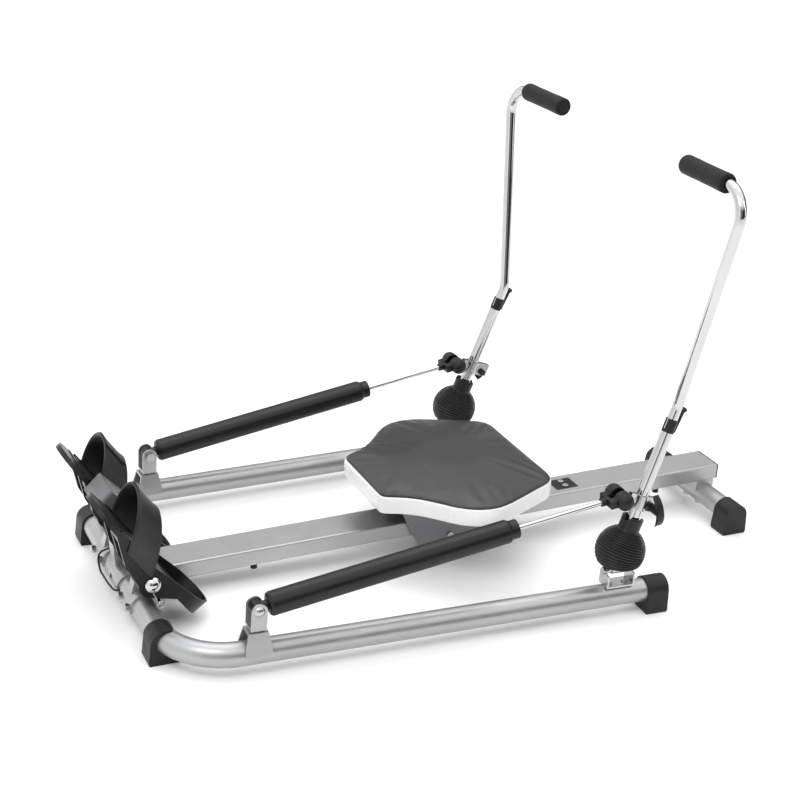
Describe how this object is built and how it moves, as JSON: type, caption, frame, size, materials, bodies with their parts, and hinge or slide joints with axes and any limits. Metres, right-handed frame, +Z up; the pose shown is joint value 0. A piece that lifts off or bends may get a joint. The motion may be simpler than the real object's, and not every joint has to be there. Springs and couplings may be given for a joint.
{
  "type": "hydraulic rowing machine",
  "caption": "Home rowing machine: sliding seat on a central rail, two swinging arms braked by hydraulic cylinders, tilting foot plates and a small display.",
  "frame": {"origin": "on the floor, below the centre of the machine's outline", "axes": "+X from the foot plates to the rear foot along the rail, +Y to the rower's right, +Z up"},
  "size_m": [1.3014, 0.7786, 0.7943],
  "materials": {
    "silver_paint": "satin metallic paint",
    "black_plastic": "moulded, fine grain",
    "black_rubber": "matt",
    "zinc_steel": "zinc plated",
    "chrome": "polished",
    "console_grey": "moulded, satin",
    "lcd_panel": "glossy display",
    "red_button": "moulded",
    "lead_black": "matt cable sheath",
    "seat_leather": "grained upholstery vinyl",
    "seat_band": "pearl white vinyl band",
    "seat_board": "plywood, stained black",
    "carriage_paint": "dark grey paint",
    "wheel_nylon": "nylon",
    "pedal_plastic": "moulded, textured",
    "strap_black": "soft vinyl",
    "cylinder_black": "satin black paint",
    "rod_chrome": "polished",
    "boot_rubber": "matt",
    "grip_foam": "closed cell foam"
  },
  "bodies": {
    "frame": {"main_frame_tube": "silver_paint", "front_feet": "black_plastic", "leg_end_caps": "black_plastic", "cylinder_bases": "silver_paint", "joint_brackets": "zinc_steel", "seat_rail": "silver_paint", "rail_end_cap": "black_plastic", "rail_saddle": "silver_paint", "rear_stabilizer": "silver_paint", "stabilizer_feet": "black_plastic", "frame_bolts": "zinc_steel", "rail_top_plate": "black_plastic", "rail_bumpers": "black_rubber", "pedal_brackets": "silver_paint", "pedal_axle": "chrome", "console_back": "console_grey", "console_front": "console_grey", "console_screen": "lcd_panel", "sensor_lead": "lead_black"},
    "console_button": {"console_button": "red_button"},
    "seat": {"seat_cushion": "seat_leather", "seat_band": "seat_band", "seat_board": "seat_board", "seat_carriage": "carriage_paint", "carriage_axles": "zinc_steel"},
    "front_roller": {"top_roller_front": "wheel_nylon"},
    "rear_roller": {"top_roller_rear": "wheel_nylon"},
    "under_roller": {"bottom_roller": "wheel_nylon"},
    "pedal_left": {"footplate_left": "pedal_plastic", "foot_strap_left": "strap_black"},
    "swivel_left": {"clevis_left": "silver_paint", "clevis_pin_left": "zinc_steel"},
    "cylinder_left": {"hydraulic_cylinder_left": "cylinder_black", "cylinder_collar_left": "cylinder_black"},
    "rod_left": {"piston_rod_left": "rod_chrome", "rod_end_left": "black_plastic"},
    "yoke_left": {"joint_yoke_left": "zinc_steel"},
    "arm_left": {"joint_boot_left": "boot_rubber", "lower_arm_left": "chrome", "regulator_clamp_left": "zinc_steel", "handle_tube_left": "chrome", "handle_clip_left": "black_plastic", "handle_grip_left": "grip_foam"},
    "knob_left": {"regulator_knob_left": "black_plastic"},
    "pedal_right": {"footplate_right": "pedal_plastic", "foot_strap_right": "strap_black"},
    "swivel_right": {"clevis_right": "silver_paint", "clevis_pin_right": "zinc_steel"},
    "cylinder_right": {"hydraulic_cylinder_right": "cylinder_black", "cylinder_collar_right": "cylinder_black"},
    "rod_right": {"piston_rod_right": "rod_chrome", "rod_end_right": "black_plastic"},
    "yoke_right": {"joint_yoke_right": "zinc_steel"},
    "arm_right": {"joint_boot_right": "boot_rubber", "lower_arm_right": "chrome", "regulator_clamp_right": "zinc_steel", "handle_tube_right": "chrome", "handle_clip_right": "black_plastic", "handle_grip_right": "grip_foam"},
    "knob_right": {"regulator_knob_right": "black_plastic"}
  },
  "joints": [
    {"name": "seat_slide", "type": "slide", "parent": "frame", "child": "seat", "axis": [0.9996, 0, 0.0297], "range_m": [-0.31, 0.42]},
    {"name": "front_roller_spin", "type": "hinge", "parent": "seat", "child": "front_roller", "pos_m": [0.00707, 0, 0.09337], "axis": [0, 1, 0], "range_deg": [-1295.1, 1754.3]},
    {"name": "rear_roller_spin", "type": "hinge", "parent": "seat", "child": "rear_roller", "pos_m": [0.07904, 0, 0.09551], "axis": [0, 1, 0], "range_deg": [-1295.1, 1754.3]},
    {"name": "under_roller_spin", "type": "hinge", "parent": "seat", "child": "under_roller", "pos_m": [0.04458, 0, 0.04276], "axis": [0, 1, 0], "range_deg": [-3777.2, 2788.2]},
    {"name": "pedal_tilt_left", "type": "hinge", "parent": "frame", "child": "pedal_left", "pos_m": [-0.55726, -0.1, 0.103], "axis": [0, 1, 0], "range_deg": [-24, 6]},
    {"name": "pedal_tilt_right", "type": "hinge", "parent": "frame", "child": "pedal_right", "pos_m": [-0.55726, 0.1, 0.103], "axis": [0, 1, 0], "range_deg": [-24, 6]},
    {"name": "console_button_press", "type": "slide", "parent": "frame", "child": "console_button", "axis": [0.7071, 0, 0.7071], "range_m": [-0.0015, 0], "stiffness_N_per_m": 900},
    {"name": "arm_lean_left", "type": "hinge", "parent": "frame", "child": "yoke_left", "pos_m": [0.2307, -0.32431, 0.089], "axis": [0.9992, -0.0401, 0], "range_deg": [-5, 8]},
    {"name": "arm_row_left", "type": "hinge", "parent": "yoke_left", "child": "arm_left", "pos_m": [0.23078, -0.3223, 0.12494], "axis": [0.0401, 0.9976, -0.0558], "range_deg": [-36, 14], "deforming": ["joint_boot_left"]},
    {"name": "regulator_knob_turn_left", "type": "hinge", "parent": "arm_left", "child": "knob_left", "pos_m": [0.28385, -0.32027, 0.19942], "axis": [0.0401, 0.9976, -0.0558], "range_deg": [-180, 180]},
    {"name": "cylinder_swivel_left", "type": "hinge", "parent": "frame", "child": "swivel_left", "pos_m": [-0.43177, -0.2977, 0.1185], "axis": [0, 0, 1], "range_deg": [-2, 2]},
    {"name": "cylinder_tilt_left", "type": "hinge", "parent": "swivel_left", "child": "cylinder_left", "pos_m": [-0.43177, -0.2977, 0.1185], "axis": [0.0284, 0.9996, 0], "range_deg": [-1.2, 1.6]},
    {"name": "rod_slide_left", "type": "slide", "parent": "cylinder_left", "child": "rod_left", "axis": [0.9862, -0.028, 0.1631], "range_m": [-0.0665, 0.0255]},
    {"name": "arm_lean_right", "type": "hinge", "parent": "frame", "child": "yoke_right", "pos_m": [0.2307, 0.32431, 0.089], "axis": [-0.9992, -0.0401, 0], "range_deg": [-5, 8]},
    {"name": "arm_row_right", "type": "hinge", "parent": "yoke_right", "child": "arm_right", "pos_m": [0.23078, 0.3223, 0.12494], "axis": [-0.0401, 0.9976, 0.0558], "range_deg": [-36, 14], "deforming": ["joint_boot_right"]},
    {"name": "regulator_knob_turn_right", "type": "hinge", "parent": "arm_right", "child": "knob_right", "pos_m": [0.28385, 0.32027, 0.19942], "axis": [-0.0401, 0.9976, 0.0558], "range_deg": [-180, 180]},
    {"name": "cylinder_swivel_right", "type": "hinge", "parent": "frame", "child": "swivel_right", "pos_m": [-0.43177, 0.2977, 0.1185], "axis": [0, 0, -1], "range_deg": [-2, 2]},
    {"name": "cylinder_tilt_right", "type": "hinge", "parent": "swivel_right", "child": "cylinder_right", "pos_m": [-0.43177, 0.2977, 0.1185], "axis": [-0.0284, 0.9996, 0], "range_deg": [-1.2, 1.6]},
    {"name": "rod_slide_right", "type": "slide", "parent": "cylinder_right", "child": "rod_right", "axis": [0.9862, 0.028, 0.1631], "range_m": [-0.0665, 0.0255]}
  ],
  "couplings": [
    {"joint": "front_roller_spin", "follows": "seat_slide", "rad_per_m": 71.429},
    {"joint": "rear_roller_spin", "follows": "seat_slide", "rad_per_m": 71.429},
    {"joint": "under_roller_spin", "follows": "seat_slide", "rad_per_m": -153.85},
    {"joint": "cylinder_swivel_left", "follows": "arm_lean_left", "ratio": -0.185},
    {"joint": "cylinder_tilt_left", "follows": "arm_row_left", "ratio": -0.0256},
    {"joint": "rod_slide_left", "follows": "arm_row_left", "m_per_rad": 0.0968},
    {"joint": "cylinder_swivel_right", "follows": "arm_lean_right", "ratio": -0.185},
    {"joint": "cylinder_tilt_right", "follows": "arm_row_right", "ratio": -0.0256},
    {"joint": "rod_slide_right", "follows": "arm_row_right", "m_per_rad": 0.0968}
  ]
}
